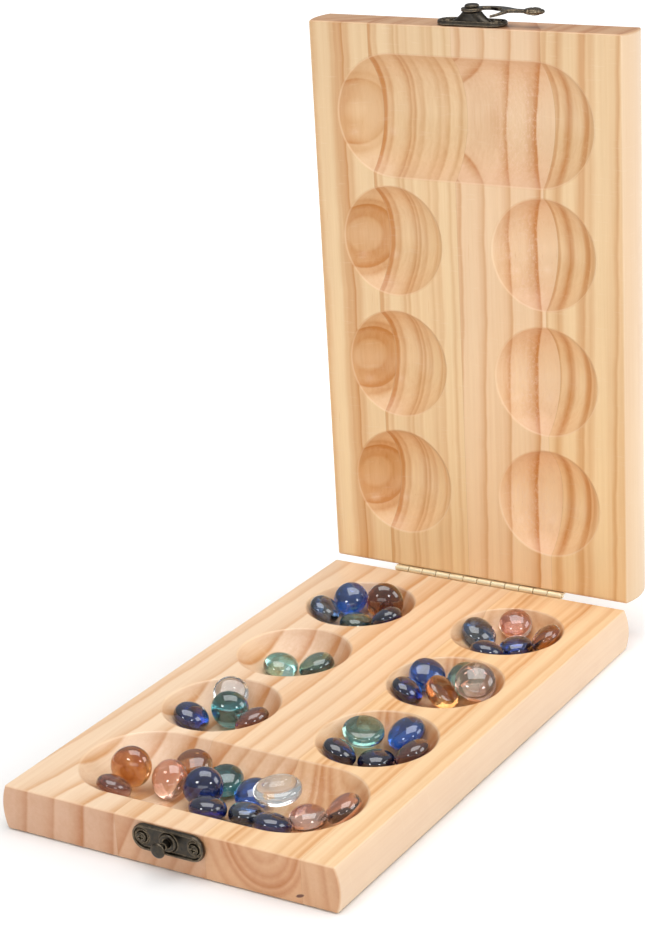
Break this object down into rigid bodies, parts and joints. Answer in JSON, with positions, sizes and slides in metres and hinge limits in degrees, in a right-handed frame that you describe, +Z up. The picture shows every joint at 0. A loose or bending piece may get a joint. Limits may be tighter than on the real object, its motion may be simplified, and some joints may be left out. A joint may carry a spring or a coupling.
{
  "type": "folding mancala board",
  "caption": "Folding wooden mancala board with round pits, long end stores, a butt hinge, a swing-hook latch and glass playing stones.",
  "frame": {"origin": "middle of the lower leaf's flat underside, which lies on the table", "axes": "+Z up from the table; +Y from the store end of the lower leaf towards the hinge; +X across the board to the right, seen from the store end"},
  "size_m": [0.146, 0.2683, 0.2683],
  "materials": {
    "brass": "polished pale brass plating",
    "bronze": "antique bronze plating, worn brighter on the edges",
    "glass_amber": "glossy amber glass",
    "glass_aqua": "glossy pale aqua glass",
    "glass_clear": "glossy clear glass with a pearly sheen",
    "glass_cobalt": "glossy cobalt blue glass",
    "glass_green": "glossy sea green glass",
    "glass_mauve": "glossy mauve brown glass",
    "glass_navy": "glossy dark navy glass with a pearly sheen",
    "glass_peach": "glossy peach glass with a pearly sheen",
    "glass_slate": "glossy slate blue glass with a pearly sheen",
    "glass_teal": "glossy teal glass",
    "pine": "satin clear lacquer over edge-glued pine",
    "steel": "blackened steel screw with worn bright edges"
  },
  "bodies": {
    "base": {"catch_peg": "bronze", "catch_plate": "bronze", "catch_screw_1": "steel", "catch_screw_2": "steel", "hinge_pin": "brass", "hinge_plate_lower": "brass", "hinge_screw_lower_1": "brass", "hinge_screw_lower_2": "brass", "hinge_screw_lower_3": "brass", "lower_board": "pine"},
    "lid": {"upper_board": "pine", "hinge_plate_upper": "brass", "hinge_screw_upper_1": "brass", "hinge_screw_upper_2": "brass", "hinge_screw_upper_3": "brass", "hook_plate": "bronze", "hook_rivet": "bronze", "hook_screw_1": "steel", "hook_screw_2": "steel"},
    "hook": {"swing_hook": "bronze"},
    "back_left_stones": {"stone_back_left_01": "glass_green", "stone_back_left_02": "glass_navy", "stone_back_left_03": "glass_slate", "stone_back_left_04": "glass_cobalt", "stone_back_left_05": "glass_mauve", "stone_back_left_06": "glass_amber"},
    "middle_left_stones": {"stone_middle_left_01": "glass_aqua", "stone_middle_left_02": "glass_aqua"},
    "front_left_stones": {"stone_front_left_01": "glass_navy", "stone_front_left_02": "glass_mauve", "stone_front_left_03": "glass_teal", "stone_front_left_04": "glass_clear"},
    "back_right_stones": {"stone_back_right_01": "glass_navy", "stone_back_right_02": "glass_slate", "stone_back_right_03": "glass_amber", "stone_back_right_04": "glass_navy", "stone_back_right_05": "glass_peach"},
    "middle_right_stones": {"stone_middle_right_01": "glass_amber", "stone_middle_right_02": "glass_navy", "stone_middle_right_03": "glass_cobalt", "stone_middle_right_04": "glass_peach", "stone_middle_right_05": "glass_green"},
    "front_right_stones": {"stone_front_right_01": "glass_navy", "stone_front_right_02": "glass_navy", "stone_front_right_03": "glass_green", "stone_front_right_04": "glass_mauve", "stone_front_right_05": "glass_cobalt"},
    "store_stones": {"stone_store_01": "glass_mauve", "stone_store_02": "glass_navy", "stone_store_03": "glass_slate", "stone_store_04": "glass_navy", "stone_store_05": "glass_peach", "stone_store_06": "glass_peach", "stone_store_07": "glass_amber", "stone_store_08": "glass_amber", "stone_store_09": "glass_peach", "stone_store_10": "glass_navy", "stone_store_11": "glass_teal", "stone_store_12": "glass_cobalt", "stone_store_13": "glass_clear"}
  },
  "joints": [
    {"name": "lid_hinge", "type": "hinge", "parent": "base", "child": "lid", "pos_m": [0, 0.12125, 0.01825], "axis": [-1, 0, 0], "range_deg": [-90, 90]},
    {"name": "hook_swing", "type": "hinge", "parent": "lid", "child": "hook", "pos_m": [0.003, 0.12725, 0.2659], "axis": [0, 0, 1], "range_deg": [-90, 180]},
    {"name": "back_left_lift", "type": "slide", "parent": "base", "child": "back_left_stones", "axis": [0, 0, 1], "range_m": [0, 0.04]},
    {"name": "middle_left_lift", "type": "slide", "parent": "base", "child": "middle_left_stones", "axis": [0, 0, 1], "range_m": [0, 0.04]},
    {"name": "front_left_lift", "type": "slide", "parent": "base", "child": "front_left_stones", "axis": [0, 0, 1], "range_m": [0, 0.04]},
    {"name": "back_right_lift", "type": "slide", "parent": "base", "child": "back_right_stones", "axis": [0, 0, 1], "range_m": [0, 0.04]},
    {"name": "middle_right_lift", "type": "slide", "parent": "base", "child": "middle_right_stones", "axis": [0, 0, 1], "range_m": [0, 0.04]},
    {"name": "front_right_lift", "type": "slide", "parent": "base", "child": "front_right_stones", "axis": [0, 0, 1], "range_m": [0, 0.04]},
    {"name": "store_lift", "type": "slide", "parent": "base", "child": "store_stones", "axis": [0, 0, 1], "range_m": [0, 0.04]}
  ]
}
